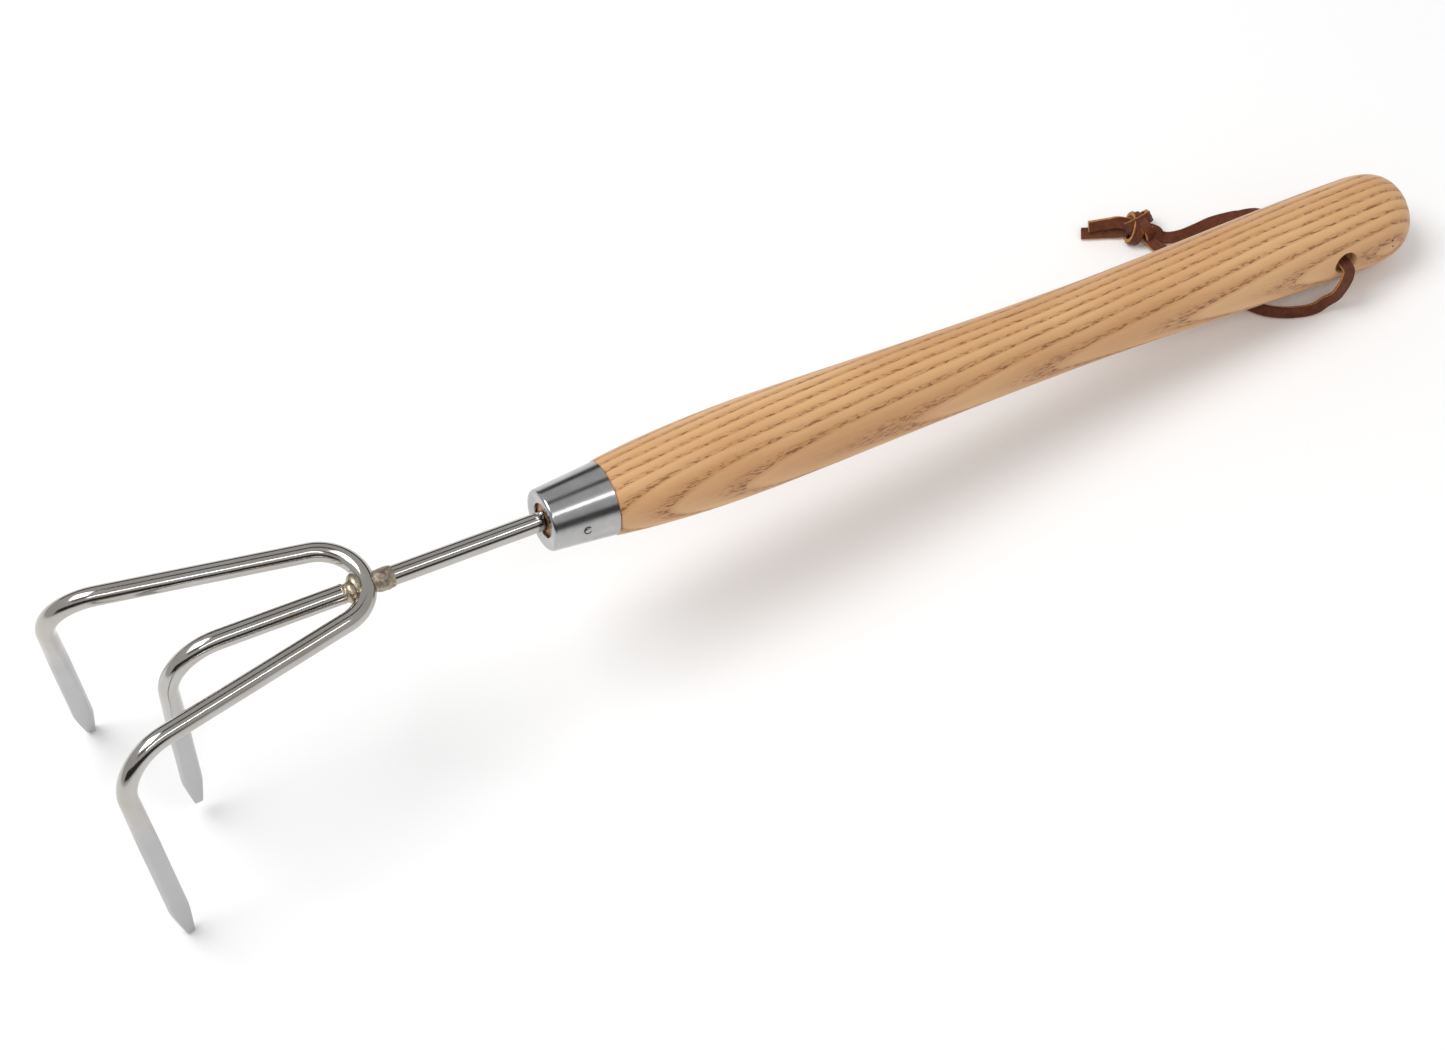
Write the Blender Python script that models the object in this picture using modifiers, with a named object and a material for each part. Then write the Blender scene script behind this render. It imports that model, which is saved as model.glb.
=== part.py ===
"""Hand cultivator with bent steel tines, a turned ash handle and a leather hanging lace.

Tool space: +X runs along the handle from the ferrule's face at 0 to the butt, the tines point down
-Z, and the two outer tines lie on either side in Y. A frame empty then lays the tool down, so that
it stands on its two outer tips and the underside of the butt, centred over the origin.
"""

import math

import bmesh
import bpy
import numpy as np
from mathutils import Matrix, Vector

OBJECT_NAME = "hand_cultivator"
GAP = 0.0003

# Rod that the shank, the bow and the tines are bent from
ROD_RADIUS = 0.0031
BEND_RADIUS = 0.016
TIP_RADIUS_SHARE = 0.42
TAPER_LENGTH = 0.014
TIP_THICKNESS = 0.0026

# Bow: one rod whose two arms open out from a round end and turn down into the outer tines
BOW_BACK = -0.0574
BOW_RADIUS = 0.0142
BOW_SPREAD = math.radians(11.6)
BOW_SIDE_OFFSET = 0.0040
ARM_LENGTH = 0.0814
ARM_DROP = 0.0031
TINE_DROP = 0.0900
TINE_RETURN = 0.0158
TINE_SPLAY = 0.0101

# Centre tine
CENTRE_TINE_REACH = 0.1231
CENTRE_TINE_DROP = 0.0832
CENTRE_TINE_RETURN = 0.0086

# Welds
SHANK_WELD_LENGTH = 0.0048
SHANK_WELD_RADIUS = 0.0037
TINE_WELD_LENGTH = 0.0050
TINE_WELD_RADIUS = 0.0043
WELD_EDGE = 0.0008
WELD_STEP = 0.0001
WELD_BULGE = 0.0004

# Tang: the shank's own rod, carried on into the wood
TANG_LENGTH = 0.0765
LUG_HEIGHT = 0.0094
LUG_WIDTH = 0.0016
LUG_LENGTH = 0.0030
LUG_AT = 0.0002

# Ferrule
FERRULE_LENGTH = 0.0216
FERRULE_FRONT_RADIUS = 0.0099
FERRULE_BACK_RADIUS = 0.0119
FERRULE_WALL = 0.0010
FERRULE_MOUTH_RADIUS = 0.0056
FERRULE_EDGE_ROUND = 0.0012
FERRULE_MOUTH_CHAMFER = 0.0004

# Cross pin through the ferrule, the wood and the tang
PIN_RADIUS = 0.00115
PIN_AT = 0.0107
PIN_ROLL = math.radians(13)

# Wood, measured from the ferrule's back edge
WOOD_LENGTH = 0.305
SHOULDER_STEP = 0.0003
SHOULDER_RADIUS = FERRULE_BACK_RADIUS + SHOULDER_STEP
BELLY_RADIUS = 0.0152
BELLY_AT = 0.052
WAIST_RADIUS = 0.0133
WAIST_AT = 0.168
FLARE_RADIUS = 0.0157
FLARE_TO_END = 0.021
NOSE_FIT = GAP

# Hanging hole across the wood
HANG_HOLE_RADIUS = 0.0040
HANG_HOLE_FROM_END = 0.0328
HANG_HOLE_ROLL = math.radians(8)
HANG_HOLE_MOUTH_RADIUS = 0.0054
HANG_HOLE_MOUTH_DEPTH = 0.0015

# Leather lace: two halves that meet inside the hanging hole, a knot, and two cut tails
LACE_DIAMETER = 0.0032
LACE_FLOOR = LACE_DIAMETER / 2 + 0.0001
KNOT_CENTRE = Vector((0.1597, 0.0391, 0.0048))
KNOT_SIZE = Vector((0.0110, 0.0100, 0.0090))
NEAR_ROUTE = (
    (0.2032, -0.0044, 0.0183),
    (0.2034, -0.0140, 0.0197),
    (0.2034, -0.0207, 0.0201),
    (0.2030, -0.0221, 0.0182),
    (0.2020, -0.0225, 0.0150),
    (0.2007, -0.0223, 0.0114),
    (0.1994, -0.0217, 0.0080),
    (0.1972, -0.0203, 0.0050),
    (0.1939, -0.0196, 0.0031),
    (0.1895, -0.0183, 0.0021),
    (0.1840, -0.0157, LACE_FLOOR),
    (0.1785, -0.0112, LACE_FLOOR),
    (0.1738, -0.0037, LACE_FLOOR),
    (0.1697, 0.0060, LACE_FLOOR),
    (0.1669, 0.0160, LACE_FLOOR),
    (0.1644, 0.0248, 0.0019),
    (0.1630, 0.0284, 0.0022),
    (0.1616, 0.0311, 0.0029),
)
FAR_ROUTE = (
    (0.2032, -0.0041, 0.0183),
    (0.2030, 0.0050, 0.0170),
    (0.2028, 0.0120, 0.0160),
    (0.2030, 0.0153, 0.0143),
    (0.2032, 0.0178, 0.0105),
    (0.2028, 0.0203, 0.0062),
    (0.2018, 0.0229, 0.0032),
    (0.1994, 0.0255, 0.0018),
    (0.1932, 0.0276, LACE_FLOOR),
    (0.1841, 0.0294, LACE_FLOOR),
    (0.1776, 0.0295, LACE_FLOOR),
    (0.1723, 0.0298, LACE_FLOOR),
    (0.1679, 0.0310, 0.0022),
    (0.1649, 0.0327, 0.0034),
    (0.1636, 0.0344, 0.0048),
)
LONG_TAIL_ROUTE = (
    (0.1547, 0.0415, 0.0028),
    (0.1508, 0.0437, LACE_FLOOR),
    (0.1465, 0.0459, LACE_FLOOR),
    (0.1425, 0.0480, LACE_FLOOR),
)
SHORT_TAIL_ROUTE = (
    (0.1544, 0.0425, 0.0066),
    (0.1514, 0.0444, 0.0057),
    (0.1480, 0.0460, 0.0052),
    (0.1448, 0.0471, 0.0052),
)

ROUND_STEPS = 36
ARC_STEP = math.radians(9)


def clear_scene():
    for obj in list(bpy.data.objects):
        bpy.data.objects.remove(obj, do_unlink=True)


def new_collection(name):
    collection = bpy.data.collections.new(name)
    bpy.context.scene.collection.children.link(collection)
    return collection


def new_material(name, colour, roughness, metallic):
    material = bpy.data.materials.new(name)
    material.use_nodes = True
    shader = material.node_tree.nodes["Principled BSDF"]
    shader.inputs["Base Color"].default_value = (*colour, 1.0)
    shader.inputs["Roughness"].default_value = roughness
    shader.inputs["Metallic"].default_value = metallic
    material.diffuse_color = (*colour, 1.0)
    return material


def add_object(name, mesh, collection, material=None, parent=None):
    obj = bpy.data.objects.new(name, mesh)
    collection.objects.link(obj)
    obj.parent = parent
    if material:
        mesh.materials.append(material)
    return obj


def as_cutter(obj):
    obj.hide_render = True
    obj.display_type = "WIRE"
    return obj


def cut(target, cutter, operation="DIFFERENCE"):
    modifier = target.modifiers.new(cutter.name, "BOOLEAN")
    modifier.operation = operation
    modifier.solver = "EXACT"
    modifier.object = cutter


def shade_round(obj, angle=40):
    obj.data.shade_smooth()
    obj.data.set_sharp_from_angle(angle=math.radians(angle))


def turned(name, outline, closed, collection, material, parent):
    """Turned piece from (place along the axis, radius) points that run down the outer side."""
    mesh = bpy.data.meshes.new(name)
    points = [(radius, 0, along) for along, radius in outline]
    edges = [(i, i + 1) for i in range(len(points) - 1)]
    if closed:
        edges.append((len(points) - 1, 0))
    mesh.from_pydata(points, edges, [])
    obj = add_object(name, mesh, collection, material, parent)
    obj.rotation_euler = (0, math.pi / 2, 0)
    screw = obj.modifiers.new("turn", "SCREW")
    screw.axis = "Z"
    screw.steps = ROUND_STEPS
    screw.render_steps = ROUND_STEPS
    screw.use_merge_vertices = True
    screw.merge_threshold = 0.0001
    screw.use_smooth_shade = True
    return obj


def rod(name, points, radius, collection, material, parent, radii=None, resolution=4):
    """Round bar along the points, made a closed mesh so that it can be cut and joined."""
    curve = bpy.data.curves.new(name, "CURVE")
    curve.dimensions = "3D"
    curve.bevel_depth = radius
    curve.bevel_resolution = resolution
    curve.use_fill_caps = True
    spline = curve.splines.new("POLY")
    spline.points.add(len(points) - 1)
    for i, (spot, place) in enumerate(zip(spline.points, points)):
        spot.co = (*place, 1)
        spot.radius = radii[i] if radii else 1.0
    guide = bpy.data.objects.new(name + "_path", curve)
    collection.objects.link(guide)
    graph = bpy.context.evaluated_depsgraph_get()
    mesh = bpy.data.meshes.new_from_object(guide.evaluated_get(graph))
    mesh.name = name
    shape = bmesh.new()
    shape.from_mesh(mesh)
    bmesh.ops.remove_doubles(shape, verts=shape.verts, dist=0.00001)
    bmesh.ops.recalc_face_normals(shape, faces=shape.faces)
    shape.to_mesh(mesh)
    shape.free()
    obj = add_object(name, mesh, collection, material, parent)
    obj.matrix_world = guide.matrix_world
    bpy.data.objects.remove(guide, do_unlink=True)
    shade_round(obj)
    return obj


def box_cutter(name, centre, axes, size, collection, parent):
    """Box with its three edges along the axes."""
    mesh = bpy.data.meshes.new(name)
    shape = bmesh.new()
    place = Matrix.Translation(centre) @ Matrix(axes).transposed().to_4x4()
    bmesh.ops.create_cube(shape, size=1.0, matrix=place @ Matrix.Diagonal((*size, 1)))
    bmesh.ops.recalc_face_normals(shape, faces=shape.faces)
    shape.to_mesh(mesh)
    shape.free()
    return as_cutter(add_object(name, mesh, collection, parent=parent))


def filleted(corners, radius):
    """The corners joined by straight runs, with an arc of the bend radius at each inner corner."""
    path = [corners[0]]
    for before, corner, after in zip(corners, corners[1:], corners[2:]):
        into = (before - corner).normalized()
        out = (after - corner).normalized()
        half = into.angle(out) / 2
        reach = radius / math.tan(half)
        centre = corner + (into + out).normalized() * (radius / math.sin(half))
        start = corner + into * reach - centre
        axis = start.cross(corner + out * reach - centre).normalized()
        turn = math.pi - 2 * half
        count = max(2, math.ceil(turn / ARC_STEP))
        for i in range(count + 1):
            path.append(centre + Matrix.Rotation(turn * i / count, 3, axis) @ start)
    path.append(corners[-1])
    return path


def with_tapered_end(path):
    """The path with extra points near its last one, and the rod's radius share at each point."""
    last = path[-1]
    back = (path[-2] - last).normalized()
    shares = [1.0] * (len(path) - 1)
    points = path[:-1]
    steps = 6
    for i in range(steps + 1):
        left = 1 - i / steps
        points.append(last + back * TAPER_LENGTH * left)
        shares.append(TIP_RADIUS_SHARE + (1 - TIP_RADIUS_SHARE) * math.sin(left * math.pi / 2))
    return points, shares


def outer_tine_corners(side):
    """Where one arm of the bow leaves its round end, its bend and its tip; side is 1 or -1."""
    centre_x = BOW_BACK - BOW_RADIUS
    start = Vector((
        centre_x + BOW_RADIUS * math.sin(BOW_SPREAD),
        BOW_SIDE_OFFSET + side * BOW_RADIUS * math.cos(BOW_SPREAD),
        0,
    ))
    run = Vector((-math.cos(BOW_SPREAD), side * math.sin(BOW_SPREAD), 0)) * ARM_LENGTH
    bend = start + run - Vector((0, 0, ARM_DROP))
    tip = bend + Vector((TINE_RETURN, side * TINE_SPLAY, -TINE_DROP))
    return start, bend, tip


def centre_tine_corners():
    start = Vector((BOW_BACK - ROD_RADIUS - TINE_WELD_LENGTH, 0, 0))
    bend = Vector((-CENTRE_TINE_REACH, 0, 0))
    tip = bend + Vector((CENTRE_TINE_RETURN, 0, -CENTRE_TINE_DROP))
    return start, bend, tip


def flatten_blade(target, corners, collection, parent):
    """Cuts a sloping flat on both sides of a tine, from below its bend to its tip."""
    before, bend, tip = corners
    down = (tip - bend).normalized()
    across = (before - bend).normalized().cross(down).normalized()
    begin = bend + down * BEND_RADIUS
    for side in (1, -1):
        high = begin + across * side * ROD_RADIUS
        low = tip + across * side * TIP_THICKNESS / 2
        along = (low - high).normalized()
        edge = down.cross(across).normalized()
        outward = along.cross(edge).normalized()
        if outward.dot(across * side) < 0:
            outward = -outward
        depth = 0.008
        size = ((low - high).length + 0.02, 0.02, depth)
        centre = (high + low) / 2 + outward * depth / 2
        name = f"{target.name}_flat_{side}_{round(tip.y * 1000)}"
        axes = (along, outward.cross(along), outward)
        cut(target, box_cutter(name, centre, axes, size, collection, parent))


def make_bow(parts, cutters, frame, steel):
    far = outer_tine_corners(1)
    near = outer_tine_corners(-1)
    centre = Vector((BOW_BACK - BOW_RADIUS, BOW_SIDE_OFFSET, 0))
    quarter = math.pi / 2 - BOW_SPREAD
    count = 16
    turns = [quarter - 2 * quarter * i / count for i in range(count + 1)]
    bow = [centre + BOW_RADIUS * Vector((math.cos(a), math.sin(a), 0)) for a in turns]
    far_points, far_shares = with_tapered_end(filleted(far, BEND_RADIUS)[1:])
    near_points, near_shares = with_tapered_end(filleted(near, BEND_RADIUS)[1:])
    path = far_points[::-1] + bow + near_points
    shares = far_shares[::-1] + [1.0] * len(bow) + near_shares
    obj = rod("outer_tines", path, ROD_RADIUS, parts, steel, frame, radii=shares)
    for corners in (far, near):
        flatten_blade(obj, corners, cutters, frame)
    return obj


def make_bow_cutter(cutters, frame):
    """The bow's round end, thicker by the gap, for what is welded to it."""
    centre = Vector((BOW_BACK - BOW_RADIUS, BOW_SIDE_OFFSET, 0))
    turns = [math.radians(100 - 200 * i / 24) for i in range(25)]
    path = [centre + BOW_RADIUS * Vector((math.cos(a), math.sin(a), 0)) for a in turns]
    return as_cutter(rod("bow_clearance", path, ROD_RADIUS + GAP, cutters, None, frame))


def make_centre_tine(parts, cutters, frame, steel):
    corners = centre_tine_corners()
    points, shares = with_tapered_end(filleted(corners, BEND_RADIUS))
    obj = rod("centre_tine", points, ROD_RADIUS, parts, steel, frame, radii=shares)
    flatten_blade(obj, corners, cutters, frame)
    return obj


def bow_face_x(side):
    """Where the bow's round end crosses the shank's line, on its outer (1) or inner (-1) face."""
    radius = BOW_RADIUS + side * ROD_RADIUS
    return BOW_BACK - BOW_RADIUS + math.sqrt(radius**2 - BOW_SIDE_OFFSET**2)


def make_shank(parts, cutters, frame, steel):
    start = Vector((bow_face_x(1) + SHANK_WELD_LENGTH, 0, 0))
    obj = rod("shank", [start, Vector((TANG_LENGTH, 0, 0))], ROD_RADIUS, parts, steel, frame)
    axes = (Vector((1, 0, 0)), Vector((0, 1, 0)), Vector((0, 0, 1)))
    size = (LUG_LENGTH, LUG_WIDTH, LUG_HEIGHT)
    lug = box_cutter("tang_lugs", Vector((LUG_AT, 0, 0)), axes, size, cutters, frame)
    cut(obj, lug, "UNION")
    return obj


def make_shank_weld(parts, frame, bow_cutter, metal):
    face = bow_face_x(1)
    top = face + SHANK_WELD_LENGTH - GAP
    outline = [
        (top, 0),
        (top, ROD_RADIUS + WELD_STEP),
        (top - WELD_EDGE, SHANK_WELD_RADIUS),
        (face + 1.5 * WELD_EDGE, SHANK_WELD_RADIUS),
        (face - WELD_EDGE, SHANK_WELD_RADIUS + WELD_BULGE),
        (face - ROD_RADIUS / 2, SHANK_WELD_RADIUS - 1.5 * WELD_BULGE),
        (face - ROD_RADIUS / 2, 0),
    ]
    obj = turned("shank_weld", outline, False, parts, metal, frame)
    cut(obj, bow_cutter)
    return obj


def make_tine_weld(parts, frame, bow_cutter, metal):
    face = bow_face_x(-1)
    bottom = centre_tine_corners()[0].x + GAP
    outline = [
        (face + WELD_EDGE, 0),
        (face + WELD_EDGE, TINE_WELD_RADIUS - WELD_EDGE),
        (face - WELD_EDGE, TINE_WELD_RADIUS),
        ((face + bottom) / 2, TINE_WELD_RADIUS - WELD_STEP),
        (bottom, ROD_RADIUS),
        (bottom, 0),
    ]
    obj = turned("centre_tine_weld", outline, False, parts, metal, frame)
    cut(obj, bow_cutter)
    return obj


def ferrule_radius(x):
    return FERRULE_FRONT_RADIUS + (FERRULE_BACK_RADIUS - FERRULE_FRONT_RADIUS) * x / FERRULE_LENGTH


def make_ferrule(parts, frame, steel):
    edge = FERRULE_EDGE_ROUND
    rounding = [
        (edge - edge * math.cos(a), ferrule_radius(edge) - edge + edge * math.sin(a))
        for a in [math.radians(90 - 18 * i) for i in range(6)]
    ]
    outline = [(FERRULE_LENGTH, FERRULE_BACK_RADIUS)]
    outline += rounding
    outline += [
        (0, FERRULE_MOUTH_RADIUS + FERRULE_MOUTH_CHAMFER),
        (FERRULE_MOUTH_CHAMFER, FERRULE_MOUTH_RADIUS),
        (FERRULE_WALL, FERRULE_MOUTH_RADIUS),
        (FERRULE_WALL, ferrule_radius(FERRULE_WALL) - FERRULE_WALL),
        (FERRULE_LENGTH, FERRULE_BACK_RADIUS - FERRULE_WALL),
    ]
    return turned("ferrule", outline, True, parts, steel, frame)


def wood_radius(x):
    """Radius of the bare wood at x behind the ferrule, from the shoulder to the flare."""
    flare_at = WOOD_LENGTH - FLARE_TO_END
    if x <= BELLY_AT:
        rise = 1 - (1 - x / BELLY_AT) ** 2.2
        return SHOULDER_RADIUS + (BELLY_RADIUS - SHOULDER_RADIUS) * rise
    if x <= WAIST_AT:
        share = ((x - BELLY_AT) / (WAIST_AT - BELLY_AT)) ** 0.75
        return BELLY_RADIUS + (WAIST_RADIUS - BELLY_RADIUS) * (1 - math.cos(math.pi * share)) / 2
    if x <= flare_at:
        share = (x - WAIST_AT) / (flare_at - WAIST_AT)
        return WAIST_RADIUS + (FLARE_RADIUS - WAIST_RADIUS) * (1 - math.cos(math.pi * share)) / 2
    share = min(1.0, (x - flare_at) / FLARE_TO_END)
    return FLARE_RADIUS * (1 - share**3) ** (1 / 3)


def wood_outline():
    dome = [math.sin(math.pi / 2 * i / 8) for i in range(8)]
    flare_at = WOOD_LENGTH - FLARE_TO_END
    places = [flare_at + FLARE_TO_END * share for share in reversed(dome)]
    places += [flare_at * (1 - i / 24) for i in range(1, 25)]
    outline = [(FERRULE_LENGTH + WOOD_LENGTH, 0)]
    outline += [(FERRULE_LENGTH + GAP * (x == 0) + x, wood_radius(x)) for x in places]
    nose_front = FERRULE_WALL + GAP
    nose_back_radius = FERRULE_BACK_RADIUS - FERRULE_WALL - NOSE_FIT
    nose_front_radius = ferrule_radius(nose_front) - FERRULE_WALL - NOSE_FIT
    outline += [
        (FERRULE_LENGTH + GAP, nose_back_radius),
        (nose_front, nose_front_radius),
        (nose_front, 0),
    ]
    return outline


def across_handle(roll):
    return Vector((0, -math.cos(roll), math.sin(roll)))


def make_handle(parts, cutters, frame, wood):
    obj = turned("handle", wood_outline(), False, parts, wood, frame)
    bore = [Vector((-0.01, 0, 0)), Vector((TANG_LENGTH + 2 * GAP, 0, 0))]
    cut(obj, as_cutter(rod("tang_bore", bore, ROD_RADIUS + GAP, cutters, None, frame)))
    lug_axes = (Vector((1, 0, 0)), Vector((0, 1, 0)), Vector((0, 0, 1)))
    lug_size = (LUG_LENGTH + 2 * GAP, LUG_WIDTH + 2 * GAP, LUG_HEIGHT + 2 * GAP)
    lug_place = Vector((LUG_AT, 0, 0))
    cut(obj, box_cutter("lug_slot", lug_place, lug_axes, lug_size, cutters, frame))
    hole_x = FERRULE_LENGTH + WOOD_LENGTH - HANG_HOLE_FROM_END
    direction = across_handle(HANG_HOLE_ROLL)
    centre = Vector((hole_x, 0, 0))
    surface = wood_radius(WOOD_LENGTH - HANG_HOLE_FROM_END)
    places = [sign * (surface + depth) for sign, depth in (
        (-1, HANG_HOLE_MOUTH_DEPTH),
        (-1, -HANG_HOLE_MOUTH_DEPTH),
        (1, -HANG_HOLE_MOUTH_DEPTH),
        (1, HANG_HOLE_MOUTH_DEPTH),
    )]
    flare = (2 * HANG_HOLE_MOUTH_RADIUS - HANG_HOLE_RADIUS) / HANG_HOLE_RADIUS
    hole = rod(
        "hang_hole",
        [centre + direction * place for place in places],
        HANG_HOLE_RADIUS,
        cutters,
        None,
        frame,
        radii=[flare, 1.0, 1.0, flare],
        resolution=8,
    )
    cut(obj, as_cutter(hole))
    return obj


def make_pin(parts, cutters, frame, steel, pinned):
    direction = across_handle(PIN_ROLL)
    half = ferrule_radius(PIN_AT)
    centre = Vector((PIN_AT, 0, 0))
    ends = [centre - direction * half, centre + direction * half]
    rod("ferrule_pin", ends, PIN_RADIUS, parts, steel, frame)
    ends = [centre - direction * (half + 0.002), centre + direction * (half + 0.002)]
    hole = as_cutter(rod("pin_hole", ends, PIN_RADIUS + GAP, cutters, None, frame))
    for obj in pinned:
        cut(obj, hole)


def smooth_route(route, spacing):
    """Points at even spacing along a smooth curve through the route's own points."""
    places = [Vector(p) for p in route]
    padded = [2 * places[0] - places[1], *places, 2 * places[-1] - places[-2]]
    dense = []
    for a, b, c, d in zip(padded, padded[1:], padded[2:], padded[3:]):
        for i in range(12):
            t = i / 12
            dense.append(
                b
                + (c - a) * t / 2
                + (2 * a - 5 * b + 4 * c - d) * t**2 / 2
                + (3 * b - a - 3 * c + d) * t**3 / 2
            )
    dense.append(places[-1])
    steps = [(q - p).length for p, q in zip(dense, dense[1:])]
    travelled = np.concatenate([[0], np.cumsum(steps)])
    count = max(3, round(travelled[-1] / spacing) + 1)
    wanted = np.linspace(0, travelled[-1], count)
    table = np.array(dense)
    columns = [np.interp(wanted, travelled, table[:, k]) for k in range(3)]
    return [Vector(p) for p in zip(*columns)]


def make_lace(parts, leather):
    strands = {
        "lace_near_leg": NEAR_ROUTE,
        "lace_far_leg": FAR_ROUTE,
        "lace_long_tail": LONG_TAIL_ROUTE,
        "lace_short_tail": SHORT_TAIL_ROUTE,
    }
    for name, route in strands.items():
        points = smooth_route(route, LACE_DIAMETER)
        rod(name, points, LACE_DIAMETER / 2, parts, leather, None, resolution=2)
    mesh = bpy.data.meshes.new("lace_knot")
    shape = bmesh.new()
    place = Matrix.Translation(KNOT_CENTRE) @ Matrix.Diagonal((*(KNOT_SIZE / 2), 1))
    bmesh.ops.create_uvsphere(shape, u_segments=16, v_segments=10, radius=1, matrix=place)
    shape.to_mesh(mesh)
    shape.free()
    shade_round(add_object("lace_knot", mesh, parts, leather), 180)


def corner_points(obj):
    graph = bpy.context.evaluated_depsgraph_get()
    evaluated = obj.evaluated_get(graph)
    mesh = evaluated.to_mesh()
    points = np.array([evaluated.matrix_world @ v.co for v in mesh.vertices])
    evaluated.to_mesh_clear()
    return points


def lay_down(frame, pieces, butt, tips):
    """Tips the tool until the butt and the outer tips reach the same level, then centres it."""
    bpy.context.view_layer.update()
    butt_points = corner_points(butt)
    tip_points = corner_points(tips)

    def lowest(points, pitch):
        return (points[:, 2] * math.cos(pitch) - points[:, 0] * math.sin(pitch)).min()

    low, high = 0.0, math.radians(45)
    for _ in range(50):
        pitch = (low + high) / 2
        if lowest(butt_points, pitch) > lowest(tip_points, pitch):
            low = pitch
        else:
            high = pitch
    frame.rotation_euler = (0, pitch, 0)
    bpy.context.view_layer.update()
    everything = np.vstack([corner_points(obj) for obj in pieces])
    bottom = everything.min(axis=0)
    top = everything.max(axis=0)
    frame.location = (-(bottom[0] + top[0]) / 2, -(bottom[1] + top[1]) / 2, -bottom[2])


def main():
    clear_scene()
    parts = new_collection(OBJECT_NAME)
    cutters = new_collection("cutters")
    frame = bpy.data.objects.new("tool_frame", None)
    parts.objects.link(frame)
    steel = new_material("polished_steel", (0.62, 0.60, 0.57), 0.14, 1.0)
    satin = new_material("satin_steel", (0.60, 0.61, 0.62), 0.30, 1.0)
    weld = new_material("weld_metal", (0.50, 0.44, 0.37), 0.38, 1.0)
    ash = new_material("ash_wood", (0.66, 0.43, 0.23), 0.48, 0.0)
    leather = new_material("leather", (0.20, 0.07, 0.035), 0.62, 0.0)
    bow_cutter = make_bow_cutter(cutters, frame)
    bow = make_bow(parts, cutters, frame, steel)
    tine = make_centre_tine(parts, cutters, frame, steel)
    shank = make_shank(parts, cutters, frame, steel)
    shank_weld = make_shank_weld(parts, frame, bow_cutter, weld)
    tine_weld = make_tine_weld(parts, frame, bow_cutter, weld)
    ferrule = make_ferrule(parts, frame, satin)
    handle = make_handle(parts, cutters, frame, ash)
    make_pin(parts, cutters, frame, satin, (ferrule, handle, shank))
    pieces = (bow, tine, shank, shank_weld, tine_weld, ferrule, handle)
    lay_down(frame, pieces, handle, bow)
    make_lace(parts, leather)


main()
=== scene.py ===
"""Finishes the hand cultivator: steel, welds, ash, leather, stage, light and camera."""

import math
from functools import partial

import bmesh
import bpy
from bpy.props import FloatProperty, FloatVectorProperty, IntProperty, PointerProperty
from mathutils import Matrix, Vector, noise


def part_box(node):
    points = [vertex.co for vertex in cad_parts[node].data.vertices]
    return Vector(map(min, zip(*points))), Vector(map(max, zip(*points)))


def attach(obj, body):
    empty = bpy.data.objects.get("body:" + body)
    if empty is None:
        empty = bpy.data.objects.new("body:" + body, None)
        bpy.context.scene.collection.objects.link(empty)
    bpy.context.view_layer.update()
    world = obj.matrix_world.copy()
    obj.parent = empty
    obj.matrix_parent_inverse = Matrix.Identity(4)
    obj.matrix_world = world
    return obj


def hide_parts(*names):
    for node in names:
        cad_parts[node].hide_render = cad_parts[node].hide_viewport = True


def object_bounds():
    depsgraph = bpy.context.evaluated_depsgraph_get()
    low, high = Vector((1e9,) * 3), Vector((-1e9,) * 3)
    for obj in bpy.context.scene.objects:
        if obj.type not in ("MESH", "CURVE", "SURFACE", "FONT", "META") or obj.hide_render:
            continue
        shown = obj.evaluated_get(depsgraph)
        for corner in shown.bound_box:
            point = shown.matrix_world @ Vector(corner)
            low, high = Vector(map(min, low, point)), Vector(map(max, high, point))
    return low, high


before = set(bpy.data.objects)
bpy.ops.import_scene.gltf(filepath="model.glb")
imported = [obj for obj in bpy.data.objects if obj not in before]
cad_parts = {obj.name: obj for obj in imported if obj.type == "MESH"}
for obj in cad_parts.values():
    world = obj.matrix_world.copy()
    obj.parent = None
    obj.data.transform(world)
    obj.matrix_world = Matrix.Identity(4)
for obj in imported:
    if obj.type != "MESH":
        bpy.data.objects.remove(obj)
CAD_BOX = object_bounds()

bl_info = {
    "name": "Hand Cultivator Finisher",
    "version": (1, 0, 0),
    "blender": (4, 5, 0),
    "location": "3D View > Sidebar > Cultivator",
    "description": "Builds the finished steel, wood and leather of a three-tine hand cultivator",
    "category": "Object",
}

BODY = "root"
TOOL_PITCH = math.radians(9.886894)
TOOL_PLACE = (-0.086253, -0.004, 0.069079)
BOX_TOLERANCE = 0.0009
FLOOR_GAP = 0.0001
FLOOR_SIDE = 12
STRIP_STEP = 0.0007
PRESSED_STEEL = (0.49, 0.487, 0.489, 1)
# Places along the bare wood, and the round of its end
BELLY_AT, WAIST_AT, DOME_LENGTH = 0.052, 0.168, 0.021
# Pinched lugs of the shank: where they start and stop, and how far out they reach
LUG_FROM, LUG_TO, LUG_REACH = -0.0013, 0.0017, 0.0047
TANG_END = 0.0765
# Ferrule: round of its front edge, chamfer at the wood; the wood's nose stands behind its wall
FRONT_ROUND, BACK_CHAMFER, NOSE_GAP = 0.0012, 0.0002, 0.0008
# Pin: height of its heads, depth and width (in pin radii) of the dark line round each
HEAD_HEIGHT, SEAT_DEPTH, SEAT_WIDTH = 0.00030, 0.0009, 1.22
# Hole: depth of its opened-out mouth, and how far the cutter stands clear of the wood
MOUTH_DEPTH, CUTTER_CLEAR = 0.0014, 0.0012
# Shank's weld: how far it laps the shank, how much it swells and how lumpy it is
WELD_LAP, WELD_SWELL, WELD_LUMPS = 0.0004, 0.0005, 0.00016
RING_SPACING = 0.0033  # of the wood's growth rings
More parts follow.
